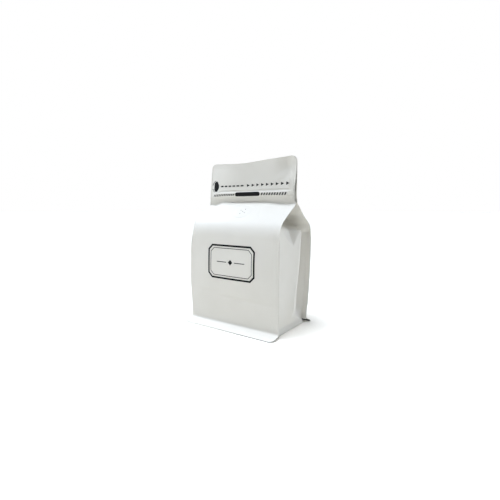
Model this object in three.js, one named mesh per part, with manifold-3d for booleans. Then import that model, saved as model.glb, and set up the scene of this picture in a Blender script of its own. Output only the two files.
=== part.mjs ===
// A filled flat-bottom bag: a box-shaped film pouch with a flat seal along each upright edge, folded
// side gussets, seal lips along the foot of the front and back panels, gabled shoulders and a flat neck.
// Across the neck lie the press-to-close track and, above it, the tear strip with its pull tab.
// Millimetres. X runs along the front panel, the front faces -Y, +Z is up.
// The origin is the middle of the face that the bag stands on.

import * as THREE from 'three';
import { mergeVertices } from 'three/addons/utils/BufferGeometryUtils.js';
import Module from 'manifold-3d';

// Overall form
const bagWidth = 130;
const bagHeight = 206;
const footDepthFront = 37;       // centre line to the front panel, near the foot
const footDepthBack = 34.5;
const bellyDepthFront = 38.5;    // and at the eave, where the bag is fullest
const bellyDepthBack = 43.4;
const panelCrown = 2;            // how far the filled front and back panels bow out
const eaveHeight = 113;          // where the shoulders begin to turn in
const shoulderRadius = 24;
const roofPitch = THREE.MathUtils.degToRad(34);   // straight part of the shoulders, from level
const footRise = 8;              // height over which the walls round under
const footTuck = 3.5;            // and how far the front and back go in
const footTuckSide = 2;          // and the gussets

// Upright edge seals
const sealWidth = 5.5;
const sealThickness = 0.9;
const sealStub = 0.4;            // what is left of a seal where it runs out at the foot and the neck
const sealShareMax = 0.4;        // most of the half depth that a seal takes, where the gable closes

// Side gussets
const ridgeHeight = 6.5;         // ridge over the root of the seals
const ridgeAtFoot = -0.1;        // place of the ridge, as a share of the half depth towards the back
const ridgeAtEave = 0.27;
const ridgeRamp = 3.5;           // how late the panel rises to its ridge
const ridgeFall = 1.6;           // how steeply it drops behind the ridge
const ridgeStart = 18;           // height over which the ridge grows out of the straight foot
const ridgeEndsBelow = 1;        // it dies away from this far below the rim
const ridgeEndsAbove = 6;        // to this far above it
const dimpleHeight = 103;        // lowest point of the fold that goes in under the gable
const dimpleHalfWidth = 0.5;     // half width of that fold at the rim, as a share of the half depth
const dimpleDepth = 4.5;         // how far it goes in at the rim
const rimHeight = 120;           // top of the upright part of the gusset
const recessSlope = 0.9;         // inward per millimetre up, under the gable
const recessClosesFrom = 138;    // the gable's two roofs come together between these heights
const recessClosesAt = 151;

// Neck
const neckThickness = 2.2;
const neckCornerRadius = 6.5;
const neckRootHeight = 147;      // hidden in the shoulders
const neckCoreHalf = 0.8;        // half thickness of the shoulders where they end inside the neck
const loftTop = 155;

// Press-to-close track, low on the neck
const trackWidth = 116;
const trackHeight = 6.5;
const trackMiddle = 163.8;
const trackRelief = 0.5;

// Tear strip with its pull tab
const stripRight = 57;
const stripBottom = 169.8;
const stripTop = 181.2;
const stripThickness = 0.6;
const stripGap = 0.3;
const tabMiddleX = -53.5;
const tabRadius = 8.3;

// One-way valve, welded inside the front shoulder, which shows as a low round boss
const valveRadius = 11;
const valveRelief = 0.6;
const valveSunk = 1.5;
const valveDepth = 15.2;         // distance of its centre from the middle plane

// Seal lips along the foot
const lipThickness = 0.9;
const lipRootHeight = 6.6;
const lipTipHeight = 0.9;
const lipCornerRadius = 6;
const frontLip = { width: 131, length: 17, rootDepth: 35.5 };
const backLip = { width: 137, length: 9.5, rootDepth: 33.5 };

// Steps of the mesh
const footLevels = [0, 0.8, 2, 4, footRise];
const wallFrom = 12;             // the evenly spaced levels of the walls begin here
const wallSteps = 6;
const gableSteps = 26;
const panelSteps = 8;
const gussetSteps = 18;
const roundSteps = 40;
const cornerSteps = 6;
const leanStep = 0.5;            // height either side of a level over which the film's lean is taken
const weldDistance = 1e-4;       // points closer than this are one

const wasm = await Module();
wasm.setup();

function toSolid(geometry) {
  const bare = geometry.clone();
  bare.deleteAttribute('normal');
  bare.deleteAttribute('uv');
  const merged = mergeVertices(bare, weldDistance);
  return new wasm.Manifold(new wasm.Mesh({
    numProp: 3,
    vertProperties: new Float32Array(merged.attributes.position.array),
    triVerts: new Uint32Array(merged.index.array),
  }));
}

function toGeometry(solid) {
  const mesh = solid.getMesh();
  const geometry = new THREE.BufferGeometry();
  geometry.setAttribute('position', new THREE.BufferAttribute(mesh.vertProperties, 3));
  geometry.setIndex(new THREE.BufferAttribute(mesh.triVerts, 1));
  geometry.computeVertexNormals();
  return geometry;
}

// Quarter-round inward turn of a wall at the foot, as a share of its tuck.
function tuckAt(z) {
  const low = 1 - THREE.MathUtils.clamp(z / footRise, 0, 1);
  return 1 - Math.sqrt(1 - low ** 2);
}

// Distance from the middle plane to a panel: a slow swell, a round shoulder, then a straight roof.
function wallDepth(z, foot, belly) {
  if (z <= eaveHeight) {
    return foot + (belly - foot) * Math.sin((Math.PI / 2) * (z / eaveHeight)) - footTuck * tuckAt(z);
  }
  const rise = z - eaveHeight;
  const arcRise = shoulderRadius * Math.cos(roofPitch);
  const arcCentre = belly - shoulderRadius;
  if (rise <= arcRise) return arcCentre + Math.sqrt(shoulderRadius ** 2 - rise ** 2);
  const arcEnd = arcCentre + shoulderRadius * Math.sin(roofPitch);
  return Math.max(neckCoreHalf, arcEnd - (rise - arcRise) / Math.tan(roofPitch));
}

const frontDepth = (z) => wallDepth(z, footDepthFront, bellyDepthFront);
const backDepth = (z) => wallDepth(z, footDepthBack, bellyDepthBack);

// A seal keeps its thickness across the film, so it is thicker along Y where the film leans.
function sealDepth(z, depth) {
  const lean = (depth(z + leanStep) - depth(z - leanStep)) / (2 * leanStep);
  return Math.min(sealThickness * Math.hypot(1, lean), sealShareMax * depth(z));
}

function crownAt(share, z) {
  if (z >= eaveHeight) return 0;
  return panelCrown * Math.sin((Math.PI * z) / eaveHeight) * (1 - share ** 2);
}

// How far the gusset stands out from the seal roots; s runs from -1 at the front to 1 at the back.
function gussetSwell(s, z) {
  const ridge = THREE.MathUtils.lerp(ridgeAtFoot, ridgeAtEave, Math.min(1, z / eaveHeight));
  const rise = Math.max(0, (1 + s) / (1 + ridge)) ** ridgeRamp;
  const fall = Math.max(0, (1 - s) / (1 - ridge)) ** ridgeFall;
  const grown = THREE.MathUtils.smoothstep(z, 0, ridgeStart);
  const fade = 1 - THREE.MathUtils.smoothstep(z, rimHeight - ridgeEndsBelow, rimHeight + ridgeEndsAbove);
  return ridgeHeight * grown * fade * (s < ridge ? rise : fall);
}

// How far it goes in: a shallow fold that widens up to the rim, then the deep recess under the roofs.
function gussetRecess(s, z) {
  const tall = THREE.MathUtils.clamp((z - dimpleHeight) / (rimHeight - dimpleHeight), 0, 1);
  const inside = Math.max(0, tall - Math.abs(s) / dimpleHalfWidth);
  return dimpleDepth * inside ** 2 * (3 - 2 * inside) + recessSlope * Math.max(0, z - rimHeight);
}

// The side of one level, from the tip of the front seal to the tip of the back seal.
function gussetLine(z, half) {
  const open = 1 - THREE.MathUtils.smoothstep(z, recessClosesFrom, recessClosesAt);
  const free = open * THREE.MathUtils.smoothstep(z, 0, footRise);
  const root = half - Math.max(sealStub, sealWidth * free);
  const yFront = -frontDepth(z) + sealDepth(z, frontDepth);
  const yBack = backDepth(z) - sealDepth(z, backDepth);
  const line = [[half, yFront]];
  for (let i = 0; i <= gussetSteps; i++) {
    const share = i / gussetSteps;
    const s = 2 * share - 1;
    const x = root + open * (gussetSwell(s, z) - gussetRecess(s, z));
    line.push([x, THREE.MathUtils.lerp(yFront, yBack, share)]);
  }
  line.push([half, yBack]);
  return line;
}

// One level of the bag, anticlockwise from above, starting at the front left seal.
function bagRing(z) {
  const half = bagWidth / 2 - footTuckSide * tuckAt(z);
  const ring = [];
  for (let i = 0; i <= panelSteps; i++) {
    const share = (2 * i) / panelSteps - 1;
    ring.push([half * share, -frontDepth(z) - crownAt(share, z)]);
  }
  const side = gussetLine(z, half);
  ring.push(...side);
  for (let i = 0; i <= panelSteps; i++) {
    const share = 1 - (2 * i) / panelSteps;
    ring.push([half * share, backDepth(z) + crownAt(share, z)]);
  }
  ring.push(...side.reverse().map(([x, y]) => [-x, y]));
  return ring;
}

function bagLevels() {
  const between = (low, high, steps) =>
    Array.from({ length: steps }, (_, i) => THREE.MathUtils.lerp(low, high, (i + 1) / steps));
  return [
    ...footLevels,
    wallFrom,
    ...between(wallFrom, dimpleHeight, wallSteps),
    ...between(dimpleHeight, loftTop, gableSteps),
  ];
}

// Skins the levels into a closed body, with flat caps on the foot and inside the neck.
function loft(levels, ringAt) {
  const rings = levels.map(ringAt);
  const count = rings[0].length;
  const points = rings.flatMap((ring, k) => ring.map(([x, y]) => [x, y, levels[k]]));
  const faces = [];
  for (let k = 0; k + 1 < rings.length; k++) {
    for (let i = 0; i < count; i++) {
      const a = k * count + i;
      const b = k * count + ((i + 1) % count);
      faces.push(a, b, b + count, a, b + count, a + count);
    }
  }
  const top = (rings.length - 1) * count;
  const flat = (ring) => ring.map(([x, y]) => new THREE.Vector2(x, y));
  const capOf = (ring) => THREE.ShapeUtils.triangulateShape(flat(ring), []);
  for (const [a, b, c] of capOf(rings[0])) faces.push(a, c, b);
  for (const [a, b, c] of capOf(rings.at(-1))) faces.push(top + a, top + b, top + c);
  const geometry = new THREE.BufferGeometry();
  geometry.setAttribute('position', new THREE.Float32BufferAttribute(points.flat(), 3));
  geometry.setIndex(faces);
  return geometry;
}

// A flat piece drawn in X and Z, standing in the neck's plane from y = back towards the front.
function neckPlate(shape, thickness, back) {
  const geometry = new THREE.ExtrudeGeometry(shape, {
    depth: thickness, bevelEnabled: false, curveSegments: cornerSteps,
  });
  return geometry.rotateX(Math.PI / 2).translate(0, back, 0);
}

function neckShape() {
  const half = bagWidth / 2;
  const r = neckCornerRadius;
  return new THREE.Shape()
    .moveTo(-half, neckRootHeight)
    .lineTo(half, neckRootHeight)
    .lineTo(half, bagHeight - r)
    .absarc(half - r, bagHeight - r, r, 0, Math.PI / 2)
    .lineTo(-half + r, bagHeight)
    .absarc(-half + r, bagHeight - r, r, Math.PI / 2, Math.PI)
    .closePath();
}

function trackShape() {
  const r = trackHeight / 2;
  const end = trackWidth / 2 - r;
  return new THREE.Shape()
    .moveTo(-end, trackMiddle - r)
    .lineTo(end, trackMiddle - r)
    .absarc(end, trackMiddle, r, -Math.PI / 2, Math.PI / 2)
    .lineTo(-end, trackMiddle + r)
    .absarc(-end, trackMiddle, r, Math.PI / 2, Math.PI * 1.5)
    .closePath();
}

// The strip runs to the right from a round pull tab that stands above and below it.
function stripShape() {
  const middle = (stripTop + stripBottom) / 2;
  const half = (stripTop - stripBottom) / 2;
  const meet = Math.asin(half / tabRadius);
  return new THREE.Shape()
    .moveTo(stripRight, stripBottom)
    .lineTo(stripRight, stripTop)
    .lineTo(tabMiddleX + tabRadius * Math.cos(meet), stripTop)
    .absarc(tabMiddleX, middle, tabRadius, meet, 2 * Math.PI - meet)
    .closePath();
}

// A seal lip: a thin plate with round outer corners that slopes from the panel down to the floor.
function lipGeometry({ width, length, rootDepth }, side) {
  const half = width / 2;
  const r = lipCornerRadius;
  const plan = new THREE.Shape()
    .moveTo(-half, 0)
    .lineTo(half, 0)
    .lineTo(half, length - r)
    .absarc(half - r, length - r, r, 0, Math.PI / 2)
    .lineTo(-half + r, length)
    .absarc(-half + r, length - r, r, Math.PI / 2, Math.PI)
    .closePath();
  const slope = Math.asin((lipRootHeight - lipTipHeight) / length);
  const plate = new THREE.ExtrudeGeometry(plan, {
    depth: lipThickness, bevelEnabled: false, curveSegments: cornerSteps,
  });
  plate.rotateX(-slope).translate(0, rootDepth, lipRootHeight - lipThickness / 2);
  return side === 'front' ? plate.rotateZ(Math.PI) : plate;
}

function valveBoss() {
  const arcRise = shoulderRadius * Math.cos(roofPitch);
  const arcEnd = bellyDepthFront - shoulderRadius * (1 - Math.sin(roofPitch));
  const height = eaveHeight + arcRise + (arcEnd - valveDepth) * Math.tan(roofPitch);
  const boss = new THREE.CylinderGeometry(valveRadius, valveRadius, valveSunk + valveRelief, roundSteps);
  boss.translate(0, (valveRelief - valveSunk) / 2, 0);
  return boss.rotateX(Math.PI / 2 + roofPitch).translate(0, -valveDepth, height);
}

function pouchGeometry() {
  const pieces = [
    neckPlate(neckShape(), neckThickness, neckThickness / 2),
    neckPlate(trackShape(), neckThickness + 2 * trackRelief, neckThickness / 2 + trackRelief),
    lipGeometry(frontLip, 'front'),
    lipGeometry(backLip, 'back'),
    valveBoss(),
  ];
  const body = toSolid(loft(bagLevels(), bagRing));
  return toGeometry(pieces.reduce((solid, piece) => solid.add(toSolid(piece)), body));
}

function stripGeometry() {
  return neckPlate(stripShape(), stripThickness, -neckThickness / 2 - stripGap);
}

const filmFinish = new THREE.MeshStandardMaterial({ color: 0xe9e9e6, roughness: 0.55, metalness: 0 });
const stripFinish = new THREE.MeshStandardMaterial({ color: 0xe2e2df, roughness: 0.5, metalness: 0 });

const pouch = new THREE.Mesh(pouchGeometry(), filmFinish);
pouch.name = 'pouch';

const tearStrip = new THREE.Mesh(stripGeometry(), stripFinish);
tearStrip.name = 'tear_strip';

const bag = new THREE.Group();
bag.add(pouch, tearStrip);

export default bag;
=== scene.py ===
import math

import bmesh
import bpy
import numpy as np
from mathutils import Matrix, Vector


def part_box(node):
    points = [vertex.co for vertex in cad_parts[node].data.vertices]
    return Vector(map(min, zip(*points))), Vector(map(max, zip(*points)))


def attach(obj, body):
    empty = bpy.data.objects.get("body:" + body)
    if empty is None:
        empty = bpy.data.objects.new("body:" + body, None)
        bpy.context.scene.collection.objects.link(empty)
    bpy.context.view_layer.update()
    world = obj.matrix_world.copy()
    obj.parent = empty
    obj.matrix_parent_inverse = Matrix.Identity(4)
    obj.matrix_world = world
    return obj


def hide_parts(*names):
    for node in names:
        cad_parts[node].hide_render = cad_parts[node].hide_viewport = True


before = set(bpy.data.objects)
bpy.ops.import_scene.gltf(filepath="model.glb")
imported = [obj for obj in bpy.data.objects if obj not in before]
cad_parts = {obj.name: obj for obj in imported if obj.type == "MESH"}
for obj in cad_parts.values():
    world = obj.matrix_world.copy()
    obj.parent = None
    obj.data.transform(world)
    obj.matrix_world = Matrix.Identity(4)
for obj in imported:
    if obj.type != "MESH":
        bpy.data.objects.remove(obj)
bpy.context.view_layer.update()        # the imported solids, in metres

mm = 0.001  # sizes below are in millimetres

# The bag stands on z = 0, its front faces -Y and X runs along the front panel.
# A pair is the two ends of a stretch over which something comes or goes, or a middle and a spread.
bag = {
    "halfWidth": 65.0,           # middle to the edge of the upright seals
    "height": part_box("pouch")[1].z / mm,
    "neckHalf": 0.75,            # middle plane to each neck film
    "creaseRadius": 2.0,         # fold between neck and shoulder
    "footRadius": 2.5,           # fold between a panel and its foot lip
    "cornerRadius": 6.5,         # top corners of the neck
    "film": 0.3,                 # drawn twice as thick as real film so that its edges show
    "clear": 0.05,               # gap between films that lie on each other
    "sealWidth": 5.5,            # flat seal along each upright edge
    "sealGap": 1.3,              # how far the two films of a seal have come apart at its edge
    "sealOpens": (14, 24),       # heights over which that gap comes
    "sealCloses": (106, 118),    # and goes
    "sealEdge": (59, 65),        # part of the width that it lifts
    "footRise": 8.0,             # height over which the walls round under
    "footTuck": 3.5,             # and how far in they go
    "straightTo": 30.0,          # below this the gussets leave out the panels' turn into the lips
}

# The two panels seen from the side: belly and foot are their distances from the middle plane.
front = {
    "sign": -1, "belly": 38.5, "foot": 37.8, "bow": 0.6, "crown": 3.0,
    "neckFoot": 151.2, "pitch": 34.0, "shoulderRadius": 24.0,
    "lipRoot": 4.4, "lipReach": 51.5, "lipTip": 0.62, "lipHalfWidth": 65.5,
    "lipCorner": 6.5, "lipCornerLeft": 2.5,
}
back = {
    "sign": 1, "belly": 43.4, "foot": 35.0, "bow": 2.6, "crown": 2.0,
    "neckFoot": 152.0, "pitch": 33.3, "shoulderRadius": 14.0,
    "lipRoot": 5.2, "lipReach": 41.0, "lipTip": 1.3, "lipHalfWidth": 68.6,
    "lipCorner": 2.0, "lipCornerLeft": 2.0,
}


def srgb(colour):
    # sRGB hex to linear RGBA
    parts = [int(colour[i:i + 2], 16) / 255 for i in (1, 3, 5)]
    return [c / 12.92 if c <= 0.04045 else ((c + 0.055) / 1.055) ** 2.4 for c in parts] + [1.0]


def ease(low, high, value):
    # 0 below low, 1 above high, smooth between
    t = np.clip((value - low) / (high - low), 0.0, 1.0)
    return t * t * (3 - 2 * t)


def hill(value, centre, spread):
    # a soft hill of height 1
    return np.exp(-(((value - centre) / spread) ** 2))


def filletLine(corners, step):
    # corners are (distance, z, radius); gives points along the line, each corner rounded to its radius
    points = [np.array(corners[0][:2], float)]
    for before, here, after in zip(corners, corners[1:], corners[2:]):
        corner = np.array(here[:2], float)
        incoming = np.array(before[:2], float) - corner
        outgoing = np.array(after[:2], float) - corner
        incoming /= np.linalg.norm(incoming)
        outgoing /= np.linalg.norm(outgoing)
        inside = math.acos(np.clip(incoming @ outgoing, -1, 1))  # angle between the two legs
        sweep = math.pi - inside
        middle = (incoming + outgoing) / np.linalg.norm(incoming + outgoing)
        centre = corner + middle * here[2] / math.sin(inside / 2)
        first = corner + incoming * here[2] / math.tan(inside / 2) - centre
        last = corner + outgoing * here[2] / math.tan(inside / 2) - centre
        count = max(4, int(here[2] * sweep / step))
        for share in np.linspace(0, 1, count + 1):
            spoke = math.sin((1 - share) * sweep) * first + math.sin(share * sweep) * last
            points.append(centre + spoke / math.sin(sweep))
    points.append(np.array(corners[-1][:2], float))
    line = [points[0]]
    for a, b in zip(points, points[1:]):
        count = max(1, int(round(np.linalg.norm(b - a) / step)))
        line += [a + (b - a) * k / count for k in range(1, count + 1)]
    return np.array(line)


def panelLine(side, step=0.7):
    # the panel seen from the side, from the neck's top edge down to the tip of the foot lip
    drop = (side["belly"] - bag["neckHalf"]) * math.tan(math.radians(side["pitch"]))
    side["eave"] = side["neckFoot"] - drop
    line = filletLine([
        (bag["neckHalf"], bag["height"], 0),
        (bag["neckHalf"], side["neckFoot"], bag["creaseRadius"]),
        (side["belly"], side["eave"], side["shoulderRadius"]),
        (side["foot"], side["lipRoot"], bag["footRadius"]),
        (side["lipReach"], side["lipTip"], 0),
    ], step)
    line[:, 0] += bowAt(side, line[:, 1])
    along = np.concatenate([[0], np.cumsum(np.linalg.norm(np.diff(line, axis=0), axis=1))])
    tangent = np.gradient(line, along, axis=0)
    tangent /= np.linalg.norm(tangent, axis=1)[:, None]
    side.update(s=along, d=line[:, 0], z=line[:, 1], nd=-tangent[:, 1], nz=tangent[:, 0])


def bowAt(side, z):
    # how far the wall swells between its foot and its eave
    share = np.clip((z - side["lipRoot"]) / (side["eave"] - side["lipRoot"]), 0, 1)
    return side["bow"] * np.sin(math.pi * share)


def alongAt(side, z):
    # place along the panel line at a height
    return np.interp(z, side["z"][::-1], side["s"][::-1])


def sealOpen(z):
    # gap between the films at the edge of an upright seal
    return bag["sealGap"] * ease(*bag["sealOpens"], z) * (1 - ease(*bag["sealCloses"], z))


def tuckAt(z):
    # quarter-round inward turn of the walls at the foot, from 1 on the floor to 0
    low = 1 - np.clip(z / bag["footRise"], 0, 1)
    return 1 - np.sqrt(1 - low ** 2)


def wallDepth(side, z):
    # middle plane to the panel, without the lip, for the gussets that join it
    share = (z - side["lipRoot"]) / (side["eave"] - side["lipRoot"])
    straight = side["foot"] + (side["belly"] - side["foot"]) * share
    wall = straight + bowAt(side, z) - bag["footTuck"] * tuckAt(z)
    return np.where(z < bag["straightTo"], wall, np.interp(z, side["z"][::-1], side["d"][::-1]))


panelLine(front)
panelLine(back)
print("stage: panel lines drawn, front", round(front["s"][-1]), "mm long")


# Shallow dents and creases that handling leaves in filled film, drawn once with a fixed seed.
handling = {
    "seed": 11,
    "dents": 26, "dentX": (-60, 60), "dentAlong": (60, 200), "dentSpread": (9, 24), "depth": 0.3,
    "creases": 12, "creaseX": (-50, 50), "creaseAlong": (70, 195), "creaseLong": (8, 22),
    "creaseWide": 1.6, "creaseDepth": 0.22,
}
draw = np.random.default_rng(handling["seed"])
dentList = [(draw.uniform(*handling["dentX"]), draw.uniform(*handling["dentAlong"]),
             draw.uniform(*handling["dentSpread"]), draw.normal(0, handling["depth"]))
            for _ in range(handling["dents"])]
creaseList = [(draw.uniform(*handling["creaseX"]), draw.uniform(*handling["creaseAlong"]),
               draw.uniform(0, math.pi), draw.uniform(*handling["creaseLong"]),
               draw.uniform(-1, 1) * handling["creaseDepth"])
              for _ in range(handling["creases"])]


def handled(x, s):
    # height of the dents and creases at a place on a panel
    rise = np.zeros(np.broadcast(x, s).shape)
    for dx, ds, spread, depth in dentList:
        rise += depth * np.exp(-((x - dx) ** 2 + (s - ds) ** 2) / spread ** 2)
    for cx, cs, turn, length, depth in creaseList:
        u = (x - cx) * math.cos(turn) + (s - cs) * math.sin(turn)
        v = -(x - cx) * math.sin(turn) + (s - cs) * math.cos(turn)
        rise += depth * np.exp(-(u / length) ** 2 - (v / handling["creaseWide"]) ** 2)
    return rise


# The loose neck: its ends lean back, its right end is dented, its top edge sags and its sides gape.
neck = {
    "foot": 150.0, "leanTall": 50.0, "leaves": (138, 150), "loose": (156, 200),
    "leanLeft": 5.3, "leftFoot": 0.9, "leftEnd": (12, 65),
    "leanRight": 0.5, "rightUp": (155, 175), "rightEnd": (15, 65),
    "wave": 0.5, "waveStart": 20.0, "waveLong": 15.0,
    "dent": 4.0, "dentX": (53, 10), "dentZ": (194, 13),
    "ridge": 0.6, "ridgeX": 46.0, "ridgeZ": 185.0, "ridgeAlong": (0.8, 0.6),
    "ridgeWide": 3.5, "ridgeLong": 9.0,
    "bulge": -1.0, "bulgeX": (8, 30),
    "footBack": 2.2, "footZ": (151, 7),  # the crease lies behind the middle plane
    "trackOut": 1.1, "trackZ": (164, 5.5), "trackEnds": (54, 65),
    "gape": 1.2, "gapeSides": (25, 65), "gapeLess": 0.6, "gapeTop": (172, 200),
    "gapeFoot": 0.4, "gapeLow": (150, 166),
    "openRight": 1.2, "openSide": (30, 65), "openLow": (146, 156), "openLess": 0.7, "openTop": (170, 196),
    "sag": 2.8, "sagX": (-14, 34), "sagZ": (165, 206), "cornerUp": 1.2, "cornerX": (38, 62),
    "foldUp": 3.0, "foldDown": 1.3, "foldLeftX": (42, 58), "foldRight": 2.4, "foldRightX": (20, 50),
    "foldZ": (151, 9),  # the front crease runs up and down along the width
    "trim": 1.2, "trimSide": (45, 65), "trimLow": (150, 157), "trimTop": (168, 186),
}


def neckWave(x, z):
    # how far both neck films stand back from the middle plane
    up = ease(*neck["loose"], z)
    climb = np.clip((z - neck["foot"]) / neck["leanTall"], 0, 1)
    left = (neck["leanLeft"] + neck["leftFoot"]) * climb - neck["leftFoot"] * ease(*neck["leaves"], z)
    right = neck["leanRight"] * ease(*neck["rightUp"], z)
    lean = left * ease(*neck["leftEnd"], -x) + right * ease(*neck["rightEnd"], x)
    wave = neck["wave"] * up * np.sin((x + neck["waveStart"]) / neck["waveLong"])
    dent = neck["dent"] * hill(x, *neck["dentX"]) * hill(z, *neck["dentZ"])
    alongX, alongZ = neck["ridgeAlong"]
    across = (x - neck["ridgeX"]) * alongZ - (z - neck["ridgeZ"]) * alongX
    lengthwise = (x - neck["ridgeX"]) * alongX + (z - neck["ridgeZ"]) * alongZ
    ridge = neck["ridge"] * hill(across, 0, neck["ridgeWide"]) * hill(lengthwise, 0, neck["ridgeLong"])
    overTrack = neck["trackOut"] * hill(z, *neck["trackZ"]) * (1 - ease(*neck["trackEnds"], np.abs(x)))
    middle = neck["bulge"] * hill(x, *neck["bulgeX"]) * up
    return lean + wave + dent - ridge + neck["footBack"] * hill(z, *neck["footZ"]) - overTrack - middle


def neckGape(x, z):
    # how far the back film opens away from the front one towards the sides of the neck
    low = neck["gapeFoot"] * (1 - ease(*neck["gapeLow"], z))
    wide = neck["gape"] * (1 - neck["gapeLess"] * ease(*neck["gapeTop"], z)) + low
    return wide * ease(*neck["gapeSides"], np.abs(x)) * ease(*neck["leaves"], z)


def filmShift(onBack, x, z):
    # backward and upward moves of a place on the front or back film
    sag = neck["sag"] * hill(x, *neck["sagX"]) - neck["cornerUp"] * ease(*neck["cornerX"], x)
    leftFold = (neck["foldUp"] + neck["foldDown"]) * ease(*neck["foldLeftX"], -x)
    fold = neck["foldUp"] - leftFold - neck["foldRight"] * ease(*neck["foldRightX"], x)
    closing = 1 - neck["openLess"] * ease(*neck["openTop"], z)
    forward = neck["openRight"] * ease(*neck["openSide"], x) * ease(*neck["openLow"], z) * closing
    backward = neckWave(x, z) + onBack * neckGape(x, z) - (1 - onBack) * forward
    return backward, -sag * ease(*neck["sagZ"], z) + (1 - onBack) * fold * hill(z, *neck["foldZ"])


def rightTrim(x, z):
    # the front film ends a little short of the back one at the right of the neck
    tall = ease(*neck["trimLow"], z)
    return neck["trim"] * ease(*neck["trimSide"], x) * tall * (1 - ease(*neck["trimTop"], z))


# The left edges stand out over the contents, most at the belly, and draw in at the shoulder.
leftEdge = {"out": 1.3, "lessAtNeck": 0.9, "neckZ": (140, 165), "belly": 2.0, "bellyZ": (58, 28),
            "shoulder": 3.4, "shoulderZ": (118, 14), "crease": 1.0, "creaseZ": (150, 5), "side": (45, 65)}


def leftBow(z):
    out = leftEdge["out"] * (1 - leftEdge["lessAtNeck"] * ease(*leftEdge["neckZ"], z))
    out = out + leftEdge["belly"] * hill(z, *leftEdge["bellyZ"])
    out = out - leftEdge["shoulder"] * hill(z, *leftEdge["shoulderZ"])
    return out + leftEdge["crease"] * hill(z, *leftEdge["creaseZ"])


# Relief in the panels: the track inside the neck, the lines of the heat seals, the valve and two low folds.
track = {"middle": 163.8, "half": 3.4, "turn": 0.5, "rise": 0.45, "ridge": 0.25, "ridgeGap": 1.7,
         "ridgeWide": 0.6, "ends": 58.0, "endTurn": 1}
sealLines = {"depth": 0.4, "low": (9, 14),
             # each line has its place, its width and its share of the depth
             "lines": ((57.2, 0.7, 0.5), (60.0, 0.6, 0.5), (62.8, 0.8, 1.0))}
valve = {"radius": 11.0, "rise": 0.6, "edgeIn": 0.8, "edgeOut": 0.6, "groove": 0.2, "grooveIn": 2.6,
         "grooveWide": 0.5, "fromNeck": 17.5, "holeRing": 4.2, "holeTurn": 0.5, "holeRadius": 0.5}
lowFolds = ({"depth": 0.6, "height": 38, "slope": -0.03, "wide": 2.2, "x": (18, 34)},
            {"depth": 0.25, "height": 44, "slope": 0.02, "wide": 2.0, "x": (-35, 22)})
panel = {"crownLow": (8, 70), "crownTop": (70, 125), "freeLow": (5, 12), "freeSides": (0.75, 1.0),
         "backShift": 37, "lipBelow": 2.0, "lipAbove": 0.4, "sealMargin": 4.0,
         "innerColumns": 70, "outerColumns": 20}


def trackRelief(x, z):
    # the press-to-close track inside shows through the neck films as a band with two ridges
    inside = 1 - ease(track["ends"] - track["endTurn"], track["ends"] + track["endTurn"], np.abs(x))
    off = np.abs(z - track["middle"])
    band = track["rise"] * (1 - ease(track["half"] - track["turn"], track["half"] + track["turn"], off))
    return inside * (band + track["ridge"] * hill(off, track["ridgeGap"], track["ridgeWide"]))


def sealRelief(x, z):
    # the heat seal's fine lines beside each upright edge
    off = np.abs(x)
    line = sum(share * hill(off, place, wide) for place, wide, share in sealLines["lines"])
    return -sealLines["depth"] * line * ease(*sealLines["low"], z)


def panelRelief(side, x, s, z):
    # how far the film stands out: the crown over the contents, handling, seal lines and track
    out = np.abs(x) / bag["halfWidth"]
    crown = side["crown"] * (1 - ease(*panel["crownTop"], z)) * (1 - (x / bag["halfWidth"]) ** 2)
    free = ease(*panel["freeLow"], z) * (1 - ease(*panel["freeSides"], out))
    shift = 0 if side is front else panel["backShift"]
    swell = crown * ease(*panel["crownLow"], z)
    return swell + free * handled(x, s + shift) + sealRelief(x, z) + trackRelief(x, z)


def frontExtra(x, s, z):
    # what only the front has: the valve's mark on the shoulder and two soft folds low on the panel
    centre = alongAt(front, front["neckFoot"]) + valve["fromNeck"]
    r = np.hypot(x, s - centre)
    edge = (valve["radius"] - valve["edgeIn"], valve["radius"] + valve["edgeOut"])
    disc = valve["rise"] * (1 - ease(*edge, r))
    mark = disc - valve["groove"] * hill(r, valve["radius"] - valve["grooveIn"], valve["grooveWide"])
    folds = 0
    for fold in lowFolds:
        line = hill(z, fold["height"] + fold["slope"] * x, fold["wide"])
        folds = folds + fold["depth"] * line * hill(x, *fold["x"])
    return mark - folds


def filmPoint(side, x, s, lift=0.0):
    # a place on the outer film of the front or back, lifted off it along its normal
    z = np.interp(s, side["s"], side["z"])
    rise = panelRelief(side, x, s, z) + lift
    if side is front:
        rise = rise + frontExtra(x, s, z)
    d = np.interp(s, side["s"], side["d"]) + np.interp(s, side["s"], side["nd"]) * rise
    backward, upward = filmShift(float(side is back), x, z)
    level = z + np.interp(s, side["s"], side["nz"]) * rise
    return np.stack(np.broadcast_arrays(x, side["sign"] * d + backward, level + upward), -1)


def roundedHalf(half, fromEnd, r):
    # half width near an end whose corners are rounded to radius r
    cut = np.clip(r - fromEnd, 0, r)
    return half - r + np.sqrt(r ** 2 - cut ** 2)


def panelHalf(side, s, lipCorner):
    # half width of a panel, which changes to that of the lip and has rounded corners at both ends
    z = np.interp(s, side["s"], side["z"])
    lip = 1 - ease(side["lipRoot"] - panel["lipBelow"], side["lipRoot"] + panel["lipAbove"], z)
    half = bag["halfWidth"] + (side["lipHalfWidth"] - bag["halfWidth"]) * lip
    top = roundedHalf(half, s, bag["cornerRadius"])
    return np.minimum(top, roundedHalf(half, side["s"][-1] - s, lipCorner))


print("stage: film shapes set")


def addNode(tree, kind, settings=None, links=None):
    # one node, its settings by attribute or socket, and its links by socket; a socket by name or number
    node = tree.nodes.new(kind)
    for name, value in (settings or {}).items():
        if isinstance(name, int) or name in node.inputs:
            node.inputs[name].default_value = value
        else:
            setattr(node, name, value)
    for name, source in (links or {}).items():
        tree.links.new(source, node.inputs[name])
    return node


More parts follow.
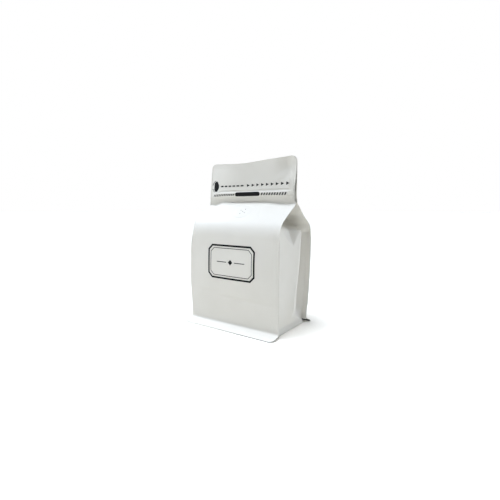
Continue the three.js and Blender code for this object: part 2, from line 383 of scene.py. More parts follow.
def newMaterial(name):
    material = bpy.data.materials.new(name)
    material.use_nodes = True
    material.node_tree.nodes.clear()
    return material, material.node_tree


# Matte-lacquered white laminate: soft broad highlights, a faint grain and a trace of mottling in the white.
filmLook = {
    "white": "#e2dfd7", "mottled": "#dddad1", "mottleSize": 22.0,
    "roughness": 0.48, "roughnessSpread": 0.05, "ior": 1.5,
    # lacquer grain is really under 0.1 mm; drawn coarser so that it shows
    "grainSize": 0.5, "grainDepth": 0.012, "grainStrength": 0.6,
    "crinkleSize": 9.0, "crinkleDepth": 0.08, "crinkleStrength": 0.5,
}


def matteFilm(name, look):
    material, tree = newMaterial(name)
    place = addNode(tree, "ShaderNodeTexCoord").outputs["Object"]
    mottle = addNode(tree, "ShaderNodeTexNoise",
                     {"Scale": 1 / (look["mottleSize"] * mm), "Detail": 3.0}, {"Vector": place})
    white = addNode(tree, "ShaderNodeMix",
                    {"data_type": "RGBA", 6: srgb(look["white"]), 7: srgb(look["mottled"])},
                    {0: mottle.outputs["Fac"]})
    grain = addNode(tree, "ShaderNodeTexNoise",
                    {"Scale": 1 / (look["grainSize"] * mm), "Detail": 2.0}, {"Vector": place})
    crinkle = addNode(tree, "ShaderNodeTexNoise",
                      {"Scale": 1 / (look["crinkleSize"] * mm), "Detail": 2.0}, {"Vector": place})
    soft = addNode(tree, "ShaderNodeBump",
                   {"Strength": look["crinkleStrength"], "Distance": look["crinkleDepth"] * mm},
                   {"Height": crinkle.outputs["Fac"]})
    fine = addNode(tree, "ShaderNodeBump",
                   {"Strength": look["grainStrength"], "Distance": look["grainDepth"] * mm},
                   {"Height": grain.outputs["Fac"], "Normal": soft.outputs["Normal"]})
    gloss = addNode(tree, "ShaderNodeMapRange",
                    {"To Min": look["roughness"] - look["roughnessSpread"],
                     "To Max": look["roughness"] + look["roughnessSpread"]},
                    {"Value": mottle.outputs["Fac"]})
    shader = addNode(tree, "ShaderNodeBsdfPrincipled", {"IOR": look["ior"]},
                     {"Base Color": white.outputs[2], "Roughness": gloss.outputs["Result"],
                      "Normal": fine.outputs["Normal"]})
    addNode(tree, "ShaderNodeOutputMaterial", None, {"Surface": shader.outputs["BSDF"]})
    return material


# Flexo black on film: dense and low in gloss, with faint uneven ink.
inkLook = {"black": "#080808", "thin": "#111110", "patchSize": 1.5,
           "roughness": 0.5, "ior": 1.5, "gloss": 0.2}


def printedInk(name, look):
    material, tree = newMaterial(name)
    place = addNode(tree, "ShaderNodeTexCoord").outputs["Object"]
    patch = addNode(tree, "ShaderNodeTexNoise",
                    {"Scale": 1 / (look["patchSize"] * mm), "Detail": 2.0}, {"Vector": place})
    black = addNode(tree, "ShaderNodeMix",
                    {"data_type": "RGBA", 6: srgb(look["black"]), 7: srgb(look["thin"])},
                    {0: patch.outputs["Fac"]})
    shader = addNode(tree, "ShaderNodeBsdfPrincipled",
                     {"IOR": look["ior"], "Roughness": look["roughness"],
                      "Specular IOR Level": look["gloss"]},
                     {"Base Color": black.outputs[2]})
    addNode(tree, "ShaderNodeOutputMaterial", None, {"Surface": shader.outputs["BSDF"]})
    return material


# Painted shade: near-black sheets put in the gaps between films, where only shade falls.
paintedShadeLook = {"dark": "#1c1c1b", "roughness": 0.5, "ior": 1.51}


def makePaintedShade(name, look):
    material, tree = newMaterial(name)
    shader = addNode(tree, "ShaderNodeBsdfPrincipled",
                     {"Base Color": srgb(look["dark"]), "Roughness": look["roughness"], "IOR": look["ior"]})
    addNode(tree, "ShaderNodeOutputMaterial", None, {"Surface": shader.outputs["BSDF"]})
    return material


whiteFilm = matteFilm("whiteMatteLaminate", filmLook)
paintedShadeMaterial = makePaintedShade("paintedShadeDark", paintedShadeLook)
blackInk = printedInk("blackFlexoInk", inkLook)
print("stage: materials made")


def meshPiece(name, points, faces, material, thickness=0.0, offset=0.0, smoothAngle=40.0):
    # a closed piece on the bag, from points in millimetres
    mesh = bpy.data.meshes.new(name)
    mesh.from_pydata((np.asarray(points).reshape(-1, 3) * mm).tolist(), [], faces)
    mesh.materials.append(material)
    piece = bpy.data.objects.new(name, mesh)
    bpy.context.scene.collection.objects.link(piece)
    if thickness:
        solid = piece.modifiers.new("filmThickness", "SOLIDIFY")
        solid.thickness = thickness * mm
        solid.offset = offset
        made = bpy.data.meshes.new_from_object(piece.evaluated_get(bpy.context.evaluated_depsgraph_get()))
        piece.modifiers.clear()
        piece.data = made
        made.name = name
    work = bmesh.new()
    work.from_mesh(piece.data)
    bmesh.ops.remove_doubles(work, verts=work.verts, dist=1e-7)
    bmesh.ops.delete(work, geom=[v for v in work.verts if not v.link_faces], context="VERTS")
    bmesh.ops.recalc_face_normals(work, faces=work.faces)
    work.to_mesh(piece.data)
    work.free()
    piece.data.shade_smooth()
    piece.data.set_sharp_from_angle(angle=math.radians(smoothAngle))
    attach(piece, "root")
    return piece


def gridFaces(rows, columns, flip=False):
    # quads of a grid whose points run along each row
    a = (np.arange(rows - 1)[:, None] * columns + np.arange(columns - 1)[None, :]).ravel()
    quads = np.stack([a, a + 1, a + columns + 1, a + columns], 1)
    return (quads[:, ::-1] if flip else quads).tolist()


def panelColumns():
    # shares of the half width, closer together over the edge seals
    seal = 1 - (bag["sealWidth"] + panel["sealMargin"]) / bag["halfWidth"]
    inner = np.linspace(-seal, seal, panel["innerColumns"])
    outer = np.linspace(seal, 1, panel["outerColumns"])[1:]
    return np.concatenate([-outer[::-1], inner, outer])


def panelSheet(name, side):
    columns = panelColumns()[None, :]
    rows = side["s"]
    left = panelHalf(side, rows, side["lipCornerLeft"])[:, None]
    right = panelHalf(side, rows, side["lipCorner"])[:, None]
    x = columns * np.where(columns < 0, left, right)
    z = np.interp(rows, side["s"], side["z"])
    x = x - leftBow(z)[:, None] * ease(*leftEdge["side"], -x)
    if side is front:
        x = x - rightTrim(x, z[:, None])
    points = filmPoint(side, x, np.broadcast_to(rows[:, None], x.shape))
    if side is back:
        points[..., 1] += sealOpen(z)[:, None] * ease(*bag["sealEdge"], np.abs(x))
    return meshPiece(name, points, gridFaces(*x.shape, side is front), whiteFilm, bag["film"], -1)


# Side gussets: a ridge with a groove behind it, and a fold that runs in under the gable and up the neck.
# Places across a gusset are shares of its half depth, from -1 at the front to 1 at the back.
gusset = {
    "ridge": 6.5, "ramp": 3.0, "fall": 3.0, "ridgeStart": 34.0, "ridgeFoot": 0.15,
    "ridgeEndsBelow": 1, "ridgeEndsAbove": 4,
    "ridgeHeights": (0, 6, 16, 40, 53, 66, 78, 104, 123),
    "ridgePlaces": (0.48, 0.18, -0.03, -0.02, 0.06, 0.15, 0.17, 0.22, 0.31),
    "groove": 10.0, "grooveAtFoot": 0.68, "grooveAtEave": 0.8,
    "grooveWideAtFoot": 0.18, "grooveWideAtEave": 0.14, "grooveClimb": (40, 110),
    # low down the ridge runs out to the back corner
    "flareHeights": (0.3, 4, 9, 17), "flarePlaces": (1.0, 0.8, 0.6, 0.3),
    "flareTurn": 0.14, "flareGroove": 3.5, "flareEnds": (11, 21),
    "slit": 3.6, "slitFrom": 0.97,  # open seam at the back corner of the foot
    "rim": 123.0, "rimSlope": 5.0, "rimSpread": 10, "opensBelow": 1, "opens": 6.0, "closes": (138, 151),
    "shelf": 14.0, "frontShare": 0.25, "gableFold": 0.5,  # the hollow under the gable
    "dentStart": 102.0, "dent": 8.2, "dentAt": -0.05, "dentFront": 0.74, "dentBack": 0.32,
    "sideTuck": 0.7, "footSeal": 3.5, "tipIn": 0.15, "backGap": 0.9, "columns": 141,
    "crispFolds": (0.9, 1.0), "softFolds": (5.0, 3.5),  # blur across and up, in grid steps
    "softFrom": (117, 125), "softTo": (146, 154), "toBack": (0.45, 0.55),
    "levels": ((0.3, 8, 0.4), (8, 98, 1.5), (98, 158, 0.7)), "topStep": 2.0, "topIn": 0.4,  # from, to, step
}


def gussetLine(z, width):
    # one level of a gusset, evenly spaced along the film from the front seal's edge to the back seal's
    inner = bag["film"] * 1.5 + bag["clear"]
    yFront = -wallDepth(front, z) + inner
    yBack = wallDepth(back, z) - inner
    middle = (yFront + yBack) / 2
    half = max(1e-6, (yBack - yFront) / 2)
    tip = float(roundedHalf(bag["halfWidth"], bag["height"] - z, bag["cornerRadius"]))
    tip = tip - gusset["sideTuck"] * tuckAt(z) - gusset["tipIn"]
    widening = (bag["sealWidth"] - gusset["footSeal"]) * float(ease(0, bag["footRise"], z))
    root = tip - gusset["footSeal"] - widening
    # the wall draws in above the rim, and below it a three-sided dent leads up into that hollow
    inGable = float(ease(gusset["rim"] - gusset["opensBelow"], gusset["rim"] + gusset["opens"], z))
    spare = max(0.0, (width - (yBack - yFront)) / 2) if z > gusset["rim"] else 0.0
    openShare = inGable * (1 - float(ease(*gusset["closes"], z)))
    deep = spare + gusset["shelf"] * openShare
    climb = float(np.clip((z - gusset["dentStart"]) / (gusset["rim"] - gusset["dentStart"]), 0, 1))
    tall = climb * (1 - inGable)
    fold = middle + half * (gusset["dentAt"] + (gusset["gableFold"] - gusset["dentAt"]) * openShare)
    shallow = 1 - (1 - gusset["frontShare"]) * openShare
    gap = float(sealOpen(z))
    corners = np.array([
        (tip, yFront + gap),
        (root, yFront),
        (root - deep * shallow, yFront),
        (root - deep, fold - tall * gusset["dentFront"] * (fold - yFront)),
        (root - deep - tall * gusset["dent"], fold),
        (root - deep, fold + tall * gusset["dentBack"] * (yBack - fold)),
        (root - deep, yBack),
        (root, yBack),
        (tip, yBack + gusset["backGap"] * gap),
    ])
    lengths = np.concatenate([[0], np.cumsum(np.linalg.norm(np.diff(corners, axis=0), axis=1))])
    along = np.linspace(0, lengths[-1], gusset["columns"])
    x = np.interp(along, lengths, corners[:, 0])
    y = np.interp(along, lengths, corners[:, 1])
    s = np.clip((y - middle) / half, -1, 1)
    onWall = (along >= lengths[2]) & (along <= lengths[6])  # between the two seals
    x = x + onWall * gussetSwell(s, z)
    level = z - gusset["rimSlope"] * s * (1 - s ** 6) * hill(z, gusset["rim"], gusset["rimSpread"])
    return np.stack([x, y, level], -1)


def gussetSwell(s, z):
    # how far the wall of a gusset stands out from the line between its two seals
    ridge = np.interp(z, gusset["ridgeHeights"], gusset["ridgePlaces"])
    ramp = np.maximum(0, (1 + s) / (1 + ridge)) ** gusset["ramp"]
    fall = np.maximum(0, (1 - s) / (1 - ridge)) ** gusset["fall"]
    up = ease(*gusset["grooveClimb"], z)
    grooveAt = gusset["grooveAtFoot"] + (gusset["grooveAtEave"] - gusset["grooveAtFoot"]) * up
    grooveWide = gusset["grooveWideAtFoot"] + (gusset["grooveWideAtEave"] - gusset["grooveWideAtFoot"]) * up
    groove = gusset["groove"] * hill(s, grooveAt, grooveWide)
    wall = gusset["ridge"] * np.where(s < ridge, ramp, fall) - groove
    edge = np.interp(z, gusset["flareHeights"], gusset["flarePlaces"])
    behind = ease(edge, edge + gusset["flareTurn"], s)
    flare = gusset["ridge"] * np.where(s < ridge, ramp, 1 - behind) - gusset["flareGroove"] * behind
    grown = gusset["ridgeFoot"] + (1 - gusset["ridgeFoot"]) * ease(0, gusset["ridgeStart"], z)
    fadeFrom = gusset["rim"] - gusset["ridgeEndsBelow"]
    grown = grown * (1 - ease(fadeFrom, gusset["rim"] + gusset["ridgeEndsAbove"], z))
    return grown * (wall + (flare - wall) * (1 - ease(*gusset["flareEnds"], z)))


def softened(grid, spread, axis):
    # blurs a grid of points along one axis, ends kept, so that folds get a small radius
    reach = int(3 * spread) + 1
    weights = np.exp(-0.5 * (np.arange(-reach, reach + 1) / spread) ** 2)
    weights /= weights.sum()
    padding = [(reach, reach) if a == axis else (0, 0) for a in range(grid.ndim)]
    padded = np.pad(grid, padding, mode="reflect", reflect_type="odd")
    size = grid.shape[axis]
    return sum(w * np.take(padded, np.arange(k, k + size), axis) for k, w in enumerate(weights))


def gussetLevels():
    # close together at the foot and under the gable, wider apart where the film is plain
    top = bag["height"] - gusset["topIn"]
    spans = [*gusset["levels"], (gusset["levels"][-1][1], top, gusset["topStep"])]
    return np.concatenate([*(np.arange(*span) for span in spans), [top]])


def gussetSheet(name, hand):
    heights = gussetLevels()
    width = float((wallDepth(front, heights) + wallDepth(back, heights)).max())  # film from seal to seal
    grid = np.stack([gussetLine(z, width) for z in heights])
    crispAcross, crispUp = gusset["crispFolds"]
    softAcross, softUp = gusset["softFolds"]
    crisp = softened(softened(grid, crispAcross, 1), crispUp, 0)
    soft = softened(softened(grid, softAcross, 1), softUp, 0)
    inGable = ease(*gusset["softFrom"], heights) * (1 - ease(*gusset["softTo"], heights))
    grid = crisp + (soft - crisp) * inGable[:, None, None]
    if hand < 0:
        grid[..., 0] += leftBow(grid[..., 2]) * ease(*leftEdge["side"], grid[..., 0])
    grid[..., 0] *= hand
    onBack = ease(*gusset["toBack"], np.linspace(0, 1, gusset["columns"]))[None, :]
    grid[..., 0] -= rightTrim(grid[..., 0], grid[..., 2]) * (1 - onBack)
    # the seam is open at the back corner of the foot, under the raised rear lip
    y = grid[..., 1]
    slit = (grid[..., 2] < gusset["slit"]) & (y > y.max(axis=1)[:, None] * gusset["slitFrom"])
    quads = gridFaces(len(heights), gusset["columns"], hand > 0)
    faces = [quad for quad in quads if not slit.ravel()[quad].any()]
    backward, upward = filmShift(onBack, grid[..., 0], grid[..., 2])
    grid[..., 1] += backward
    grid[..., 2] += upward
    return meshPiece(name, grid, faces, whiteFilm, bag["film"], 0)


# Bottom film: flat on the floor, turned up under both lips.
bottom = {"level": 0.2, "backLevel": 0.3, "frontShort": 1.2, "frontIn": 0.8, "frontDrop": 1.0,
          "backOut": 1.0, "backShort": 0.6, "lipIn": 0.2, "turnIn": 2, "turnOut": 1,
          "tipClear": 0.05, "step": 1.2, "columns": 40}


def bottomSheet(name):
    inner = bag["film"] + bag["clear"]
    line = filletLine([
        (-front["lipReach"] + bottom["frontShort"], front["lipTip"] - inner, 0),
        (-front["foot"] + bottom["frontIn"], front["lipRoot"] - bottom["frontDrop"], 1.5),
        (-front["foot"] + bag["footTuck"], bottom["level"], 2.0),
        (back["foot"] - bag["footTuck"], bottom["level"], 0.5),
        (back["foot"] + bottom["backOut"], bottom["backLevel"], 1.5),
        (back["lipReach"] - bottom["backShort"], back["lipTip"] - inner, 0),
    ], bottom["step"])
    y, z = line[:, 0], line[:, 1]
    base = bag["halfWidth"] - gusset["footSeal"]
    # the rear lip's lower film stops short of its ends
    lip = np.where(y < 0, front["lipHalfWidth"] - bottom["lipIn"], base)
    onFrontLip = ease(front["foot"] - bottom["turnIn"], front["foot"] + bottom["turnOut"], -y)
    onBackLip = ease(back["foot"] - bottom["turnIn"], back["foot"] + bottom["turnOut"], y)
    half = base + (lip - base) * np.where(y < 0, onFrontLip, onBackLip)
    fromTip = np.where(y < 0, front["lipReach"] + y, back["lipReach"] - y)
    corner = np.where(y < 0, front["lipCorner"], back["lipCorner"])
    half = roundedHalf(half, np.maximum(fromTip, bottom["tipClear"]), corner)
    columns = np.linspace(-1, 1, bottom["columns"])
    x = columns[None, :] * half[:, None]
    points = np.stack(np.broadcast_arrays(x, y[:, None], z[:, None]), -1)
    return meshPiece(name, points, gridFaces(len(y), len(columns)), whiteFilm, bag["film"], 0)


# Webs: the gusset film goes on into the seal and closes each end of the front lip.
web = {"behind": 2.5, "short": 4.5, "below": 0.7, "floor": 0.1, "in": 2.2, "curve": 2.0}


def lipWeb(name, hand):
    y = np.linspace(-front["foot"] + web["behind"], -front["lipReach"] + web["short"], 12)
    share = np.clip((-y - front["foot"]) / (front["lipReach"] - front["foot"]), 0, 1)
    top = front["lipRoot"] + (front["lipTip"] - front["lipRoot"]) * share - web["below"]
    rows = np.linspace(0, 1, 5)[:, None]
    z = web["floor"] + rows * (top - web["floor"])[None, :]
    end = hand * (front["lipHalfWidth"] - web["in"])
    x = np.full_like(z, end) - hand * web["curve"] * share[None, :] ** 2
    points = np.stack([x, np.broadcast_to(y, z.shape), z], -1)
    return meshPiece(name, points, gridFaces(len(rows), len(y)), whiteFilm, bag["film"], 0)


# Painted shade: dark strips put under each end of the raised rear lip, along the rim of the front lip
# and in the gap at each end of the neck.
shadeStrips = {
    "lipFrom": 52.0, "lipSet": 1.0, "lipTop": 3.3, "lipBottom": 2.0, "lipShort": 0.3,
    "lipEndIn": 0.5, "lipTopEnd": 1.05, "lipBottomEnd": 0.7,
    "edgeBack": 10.0, "edgeOver": 0.1, "edgeBase": 0.04, "edgeThin": 0.1, "edgeTall": 0.55,
    "edgeGrows": (-10, 30),
    "neckSet": 0.9, "neckFrom": 153.0, "neckTo": 199.0, "neckThin": 0.1,
}


def lipShadeStrip(name, hand):
    # painted shade: an upright dark strip behind the lower edge of the back film, turned back along the end
    # of the lip
    end = back["lipHalfWidth"] - shadeStrips["lipShort"]
    first = back["foot"] + shadeStrips["lipSet"]
    last = back["lipReach"] - shadeStrips["lipEndIn"]
    x = np.concatenate([np.linspace(shadeStrips["lipFrom"], end, 20), np.full(6, end)])
    y = np.concatenate([np.full(20, first), np.linspace(first, last, 7)[1:]])
    share = (y - first) / (last - first)
    top = shadeStrips["lipTop"] + (shadeStrips["lipTopEnd"] - shadeStrips["lipTop"]) * share
    low = shadeStrips["lipBottom"] + (shadeStrips["lipBottomEnd"] - shadeStrips["lipBottom"]) * share
    rows = np.linspace(0, 1, 5)[:, None]
    points = np.stack(np.broadcast_arrays(hand * x, y, low + (top - low) * rows), -1)
    return meshPiece(name, points, gridFaces(len(rows), len(x)), paintedShadeMaterial, bag["film"], 0)


def lipEdgeShadow(name):
    # painted shadow: a dark line along the rim of the front lip, tallest towards the right corner
    half = front["lipHalfWidth"] + shadeStrips["edgeOver"]
    reach = front["lipReach"] + shadeStrips["edgeOver"]
    turn = np.linspace(0, math.pi / 2, 12)
    left, right = front["lipCornerLeft"], front["lipCorner"]
    straight = np.linspace(left - half, half - right, 60)[1:-1]
    x = np.concatenate([left - half - left * np.cos(turn), straight,
                        half - right + right * np.sin(turn), [half, half]])
    inward = np.concatenate([left - left * np.sin(turn), np.zeros(len(straight)),
                             right - right * np.cos(turn), np.linspace(right, shadeStrips["edgeBack"], 3)[1:]])
    slope = (front["lipRoot"] - front["lipTip"]) / (front["lipReach"] - front["foot"])
    tall = shadeStrips["edgeThin"] + (shadeStrips["edgeTall"] - shadeStrips["edgeThin"]) * ease(*shadeStrips["edgeGrows"], x)
    rows = np.linspace(0, 1, 3)[:, None]
    z = shadeStrips["edgeBase"] + slope * inward + rows * tall
    points = np.stack(np.broadcast_arrays(x, inward - reach, z), -1)
    return meshPiece(name, points, gridFaces(len(rows), len(x)), paintedShadeMaterial, shadeStrips["edgeThin"], 0)


def neckShadeStrip(name, hand):
    # painted shade: a dark strip across the gap between the neck films, set back from their edges
    z = np.linspace(shadeStrips["neckFrom"], shadeStrips["neckTo"], 40)[:, None]
    x = np.full_like(z, hand * (bag["halfWidth"] - shadeStrips["neckSet"]))
    x = x - rightTrim(x, z)
    inner = bag["neckHalf"] - bag["film"]
    frontBack, frontUp = filmShift(0.0, x, z)
    backBack, backUp = filmShift(1.0, x, z)
    share = np.linspace(0, 1, 4)[None, :]
    y = (frontBack - inner) * (1 - share) + (backBack + inner) * share
    level = z + frontUp * (1 - share) + backUp * share
    points = np.stack(np.broadcast_arrays(x, y, level), -1)
    return meshPiece(name, points, gridFaces(*y.shape), paintedShadeMaterial, shadeStrips["neckThin"], 0)


frontPanel = panelSheet("front_film", front)
backPanel = panelSheet("back_film", back)
rightGusset = gussetSheet("gusset_right", 1)
leftGusset = gussetSheet("gusset_left", -1)
bottomPanel = bottomSheet("bottom_film")
webs = [lipWeb("lip_web_right", 1), lipWeb("lip_web_left", -1)]
lipEdgeShadow("lip_edge_painted_shadow")
for hand, place in ((1, "right"), (-1, "left")):
    lipShadeStrip("lip_painted_shade_" + place, hand)
    neckShadeStrip("neck_painted_shade_" + place, hand)
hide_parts("pouch")
print("stage: film sheets made")


# Tear strip: a scored band across the neck that begins in a round pull tab.
strip = {"right": 57.0, "bottom": 169.8, "top": 181.2, "tabX": -53.5, "tabRadius": 8.8,
         "lift": 0.25, "film": 0.4}


def tearStrip(name):
    middle = (strip["top"] + strip["bottom"]) / 2
    half = (strip["top"] - strip["bottom"]) / 2
    radius = strip["tabRadius"]
    meet = strip["tabX"] + math.sqrt(radius ** 2 - half ** 2)
    angles = np.linspace(0.06, 1, 26)  # starts just off the tab's outermost point
    tabX = strip["tabX"] - radius * np.cos(angles * math.acos(-(meet - strip["tabX"]) / radius))
    x = np.concatenate([tabX, np.linspace(meet, strip["right"], 90)[1:]])
    tall = np.where(x <= meet, np.sqrt(np.maximum(0, radius ** 2 - (x - strip["tabX"]) ** 2)), half)
    rows = np.linspace(-1, 1, 17)
    z = middle + rows[:, None] * tall[None, :]
    grid = np.broadcast_to(x[None, :], z.shape)
    points = filmPoint(front, grid, alongAt(front, z), strip["lift"])
    return meshPiece(name, points, gridFaces(len(rows), len(x)), whiteFilm, strip["film"], 0)


stripPiece = tearStrip("tear_strip_film")
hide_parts("tear_strip")
print("stage: tear strip made")


# Print, and the painted shade of the valve's pinholes: thin sheets of ink that follow the front film, each
# lifted a little off what it lies on.
inkSheet = {"thickness": 0.04, "overStrip": 0.03, "overFilm": 0.05, "overValve": 0.04}


def ribbon(lower, upper, across=6):
    # a printed shape between two lines of (x, z) points, as a grid
    shares = np.linspace(0, 1, across + 1)[:, None, None]
    return np.asarray(lower, float)[None] * (1 - shares) + np.asarray(upper, float)[None] * shares


def mirroredShape(x, middle, tall, across=6):
    # a shape that reaches as far above its middle line as below it
    return ribbon(np.stack([x, middle - tall], 1), np.stack([x, middle + tall], 1), across)


def barShape(x0, x1, z0, z1, slant=0.0):
    count = max(2, int(abs(x1 - x0) / 1.5) + 1)
    x = np.linspace(x0, x1, count)
    return ribbon(np.stack([x, np.full(count, z0)], 1), np.stack([x + slant, np.full(count, z1)], 1))


def pillShape(x0, x1, z0, z1):
    r = (z1 - z0) / 2
    turn = np.linspace(0, math.pi / 2, 9)[1:]
    x = np.concatenate([x0 + r - r * np.cos(turn), np.linspace(x0 + r, x1 - r, 22)[1:-1],
                        x1 - r + r * np.cos(turn[::-1])])
    fromEnd = np.minimum(x - x0, x1 - x)
    tall = np.sqrt(np.maximum(0, r ** 2 - np.clip(r - fromEnd, 0, r) ** 2))
    return mirroredShape(x, (z0 + z1) / 2, tall, 14)


def outlineShape(points, weight):
    # a closed line of that weight, drawn inwards from its outer corners by mitred offsets
    outer = np.asarray(points, float)
    ahead = np.roll(outer, -1, 0) - outer
    ahead /= np.linalg.norm(ahead, axis=1)[:, None]
    behind = np.roll(ahead, 1, 0)
    normal = np.stack([-ahead[:, 1], ahead[:, 0]], 1)
    mitre = normal + np.stack([-behind[:, 1], behind[:, 0]], 1)
    mitre *= (weight / np.einsum("ij,ij->i", mitre, normal))[:, None]
    inner = outer + mitre
    return ribbon(np.vstack([outer, outer[:1]]), np.vstack([inner, inner[:1]]), 2)


def finer(points, step=1.5):
    # adds points along straight runs so that a printed line follows the film
    made = []
    for a, b in zip(points, np.roll(points, -1, 0)):
        count = max(1, int(np.linalg.norm(b - a) / step))
        made += [a + (b - a) * k / count for k in range(count)]
    return np.array(made)


def printPiece(name, shapes, lift):
    # shapes are grids of (x, along) places on the front film
    points, faces = [], []
    for shape in shapes:
        start = sum(len(p) for p in points)
        rows, columns = shape.shape[:2]
        points.append(filmPoint(front, shape[..., 0], shape[..., 1], lift).reshape(-1, 3))
        faces += [tuple(start + i for i in quad) for quad in gridFaces(rows, columns)]
    return meshPiece(name, np.vstack(points), faces, blackInk, inkSheet["thickness"], 1)


def onFront(shape):
    # turns heights into places along the front film
    return np.stack([shape[..., 0], alongAt(front, shape[..., 1])], -1)


# Marks on the tear strip: the tab's dark field with two arcs round it, a dashed line and a row of arrows.
stripPrint = {
    "middle": 175.6,
    "tabLeft": -58.6, "tabPoint": -50.3, "tabShoulder": -53.2, "tabTop": 182.6,
    "tabCut": 2.5, "tabPointHalf": 2.0,
    "arcRadius": 8.6, "arcWeight": 0.8, "arcs": ((108, 168), (200, 248)),  # degrees
    "dashFrom": -46.5, "dashTo": -9.0, "dashes": 6, "dashLong": 4.4, "dashTall": 1.9,
    "arrowFrom": -1.6, "arrowPitch": 7.04, "arrows": 9, "arrowLong": 4.0, "arrowTall": 3.9,
    "arrowTaper": 0.98,  # the tip stays just blunt
}


def stripMarks():
    p = stripPrint
    middle = p["middle"]
    tabHalf = p["tabTop"] - middle
    tabX = [p["tabLeft"], p["tabLeft"] + p["tabCut"], p["tabShoulder"], p["tabPoint"]]
    tabTall = [tabHalf - p["tabCut"], tabHalf, tabHalf, p["tabPointHalf"]]
    x = np.linspace(p["tabLeft"], p["tabPoint"], 24)
    shapes = [mirroredShape(x, middle, np.interp(x, tabX, tabTall), 24)]
    centre = np.array([strip["tabX"], middle])
    for first, last in p["arcs"]:
        turn = np.radians(np.linspace(first, last, 20))
        arc = np.stack([np.cos(turn), np.sin(turn)], 1)
        inside = centre + arc * (p["arcRadius"] - p["arcWeight"])
        shapes.append(ribbon(inside, centre + arc * p["arcRadius"], 3))
    for start in np.linspace(p["dashFrom"], p["dashTo"] - p["dashLong"], p["dashes"]):
        shapes.append(barShape(start, start + p["dashLong"],
                               middle - p["dashTall"] / 2, middle + p["dashTall"] / 2))
    for k in range(p["arrows"]):
        start = p["arrowFrom"] + k * p["arrowPitch"] - p["arrowLong"] / 2
        x = np.linspace(start, start + p["arrowLong"], 4)
        tall = p["arrowTall"] / 2 * (1 - (x - start) / p["arrowLong"] * p["arrowTaper"])
        shapes.append(mirroredShape(x, middle, tall))
    return [onFront(shape) for shape in shapes]


# Marks over the press-to-close track: a plain pill between two rows of slanted teeth.
trackPrint = {
    "pillLeft": -21.6, "pillRight": 16.4, "pillBottom": 160.8, "pillTop": 166.8,
    "middle": 163.6, "slant": 1.5,
    "rows": ({"from": -58.9, "to": -23.0, "pitch": 3.0, "wide": 1.7, "tall": 2.6},
             {"from": 17.6, "to": 56.0, "pitch": 3.7, "wide": 2.0, "tall": 3.4}),
}


def trackMarks():
    p = trackPrint
    shapes = [pillShape(p["pillLeft"], p["pillRight"], p["pillBottom"], p["pillTop"])]
    for row in p["rows"]:
        for start in np.arange(row["from"], row["to"] - row["wide"], row["pitch"]):
            shapes.append(barShape(start, start + row["wide"], p["middle"] - row["tall"] / 2,
                                   p["middle"] + row["tall"] / 2, p["slant"]))
    return [onFront(shape) for shape in shapes]


# Front label: an empty frame with clipped corners, a fine inner line and a plain divider.
label = {"halfWide": 35.0, "halfTall": 21.0, "middle": 82.0, "clip": 6.0, "weight": 2.2,
         "inset": 4.0, "innerClip": 5.0, "fine": 0.7,
         "rule": 15.0, "ruleGap": 6.0, "ruleTall": 0.9, "diamond": 3.4, "diamondTaper": 0.99}


def clippedFrame(halfWide, halfTall, clip, weight):
    corners = [(-halfWide + clip, -halfTall), (halfWide - clip, -halfTall), (halfWide, -halfTall + clip),
               (halfWide, halfTall - clip), (halfWide - clip, halfTall), (-halfWide + clip, halfTall),
               (-halfWide, halfTall - clip), (-halfWide, -halfTall + clip)]
    return outlineShape(finer(np.array(corners) + [0, label["middle"]]), weight)


def labelMarks():
    p = label
    shapes = [clippedFrame(p["halfWide"], p["halfTall"], p["clip"], p["weight"]),
              clippedFrame(p["halfWide"] - p["inset"], p["halfTall"] - p["inset"],
                           p["innerClip"], p["fine"])]
    for hand in (-1, 1):
        ends = sorted((hand * p["ruleGap"], hand * (p["ruleGap"] + p["rule"])))
        shapes.append(barShape(*ends, p["middle"] - p["ruleTall"] / 2, p["middle"] + p["ruleTall"] / 2))
    x = np.array([-1, -0.5, 0, 0.5, 1.0]) * p["diamond"]
    shapes.append(mirroredShape(x, p["middle"], p["diamond"] - np.abs(x) * p["diamondTaper"]))
    return [onFront(shape) for shape in shapes]


def valvePinholeShade():
    # painted shade: black ink dots for the dark inside of the valve's pinholes, one in the middle and four
    # round it
    centre = alongAt(front, front["neckFoot"]) + valve["fromNeck"]
    ring, turn, r = valve["holeRing"], valve["holeTurn"], valve["holeRadius"]
    angles = np.linspace(turn, turn + 2 * math.pi, 5)[:-1]
    shapes = []
    for px, ps in [(0, 0)] + [(ring * math.cos(a), ring * math.sin(a)) for a in angles]:
        shape = pillShape(px - r, px + r, -r, r)
        shapes.append(np.stack([shape[..., 0], shape[..., 1] + centre + ps], -1))
    return shapes


printPiece("strip_marks", stripMarks(), strip["lift"] + strip["film"] / 2 + inkSheet["overStrip"])
printPiece("track_marks", trackMarks(), inkSheet["overFilm"])
printPiece("front_label", labelMarks(), inkSheet["overFilm"])
printPiece("valve_pinhole_painted_shade", valvePinholeShade(), inkSheet["overValve"])
print("stage: print made")


# Stage: a pale floor, a light high in front, a soft box at the left and a weak fill behind at the right.
# Each light has its height above level and its turn from straight in front, in degrees.
studio = {"floor": "#fffaf0", "floorRoughness": 0.9, "floorSize": 30.0, "lightTint": "#ebf3ff",
          "surround": 0.02, "backdrop": 1.0,
          "overhead": {"height": 78, "turn": 331, "strength": 3.75, "spread": 30},
          "rightFill": {"height": 25, "turn": 130, "strength": 1.36, "spread": 50},
          "leftBox": {"height": 35, "turn": 270, "watts": 1.72, "size": 0.4, "reach": 0.5, "aim": 0.09}}


def boardMaterial():
    # matte painted board: even and pale
    material, tree = newMaterial("paintedBoard")
    shader = addNode(tree, "ShaderNodeBsdfPrincipled",
                     {"Base Color": srgb(studio["floor"]), "Roughness": studio["floorRoughness"]})
    addNode(tree, "ShaderNodeOutputMaterial", None, {"Surface": shader.outputs["BSDF"]})
    return material


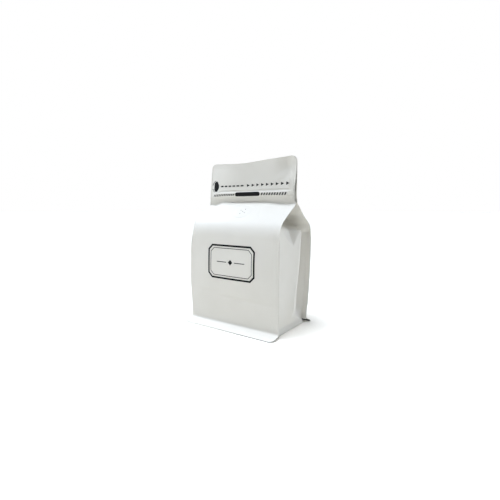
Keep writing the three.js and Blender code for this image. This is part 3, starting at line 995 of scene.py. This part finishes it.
def buildFloor():
    half = studio["floorSize"] / 2
    mesh = bpy.data.meshes.new("floor")
    corners = [(-half, -half, 0), (half, -half, 0), (half, half, 0), (-half, half, 0)]
    mesh.from_pydata(corners, [], [(0, 1, 2, 3)])
    mesh.materials.append(boardMaterial())
    floor = bpy.data.objects.new("floor", mesh)
    bpy.context.scene.collection.objects.link(floor)


def placeLight(lamp, spec):
    # hangs a light one metre out in its direction, facing the bag
    height, turn = math.radians(spec["height"]), math.radians(spec["turn"])
    level = math.cos(height)
    toward = Vector((math.sin(turn) * level, -math.cos(turn) * level, math.sin(height)))
    lamp.color = srgb(studio["lightTint"])[:3]
    placed = bpy.data.objects.new(lamp.name, lamp)
    placed.location = toward
    placed.rotation_euler = toward.to_track_quat("Z", "Y").to_euler()
    bpy.context.scene.collection.objects.link(placed)
    return placed


def buildLights():
    for name in ("overhead", "rightFill"):
        lamp = bpy.data.lights.new(name, "SUN")
        lamp.energy = studio[name]["strength"]
        lamp.angle = math.radians(studio[name]["spread"])
        placeLight(lamp, studio[name])
    box = studio["leftBox"]
    lamp = bpy.data.lights.new("leftBox", "AREA")
    lamp.energy = box["watts"]
    lamp.size = box["size"]
    placed = placeLight(lamp, box)
    placed.location = placed.location * box["reach"] + Vector((0, 0, box["aim"]))
    placed.visible_camera = False


def buildSurround():
    # white behind the bag, but next to no light from it
    world = bpy.data.worlds.new("surround")
    world.use_nodes = True
    tree = world.node_tree
    tree.nodes.clear()
    white = (1, 1, 1, 1)
    seen = addNode(tree, "ShaderNodeLightPath").outputs["Is Camera Ray"]
    soft = addNode(tree, "ShaderNodeBackground", {"Strength": studio["surround"], "Color": white})
    plain = addNode(tree, "ShaderNodeBackground", {"Strength": studio["backdrop"], "Color": white})
    mixed = addNode(tree, "ShaderNodeMixShader", None, {0: seen, 1: soft.outputs[0], 2: plain.outputs[0]})
    addNode(tree, "ShaderNodeOutputWorld", None, {"Surface": mixed.outputs[0]})
    bpy.context.scene.world = world


# Camera fitted to the photograph's 500-pixel frame.
view = {"azimuth": 34.42, "elevation": 6.97, "distance": 436.1, "target": (0.48, 0.0, 93.18),
        "focal": 338.33, "frame": 500.0, "sensor": 36.0}


def buildCamera():
    turn, tilt = math.radians(view["azimuth"]), math.radians(view["elevation"])
    away = Vector((math.sin(turn) * math.cos(tilt), -math.cos(turn) * math.cos(tilt), math.sin(tilt)))
    lens = bpy.data.cameras.new("photoCamera")
    lens.sensor_width = view["sensor"]
    lens.lens = view["focal"] / view["frame"] * view["sensor"]
    lens.clip_start = 0.01
    camera = bpy.data.objects.new("photoCamera", lens)
    camera.location = (Vector(view["target"]) + away * view["distance"]) * mm
    camera.rotation_euler = (-away).to_track_quat("-Z", "Y").to_euler()
    bpy.context.scene.collection.objects.link(camera)
    bpy.context.scene.camera = camera


buildFloor()
buildLights()
buildSurround()
buildCamera()
bpy.context.scene.view_settings.view_transform = "Standard"
print("stage: light and camera set")
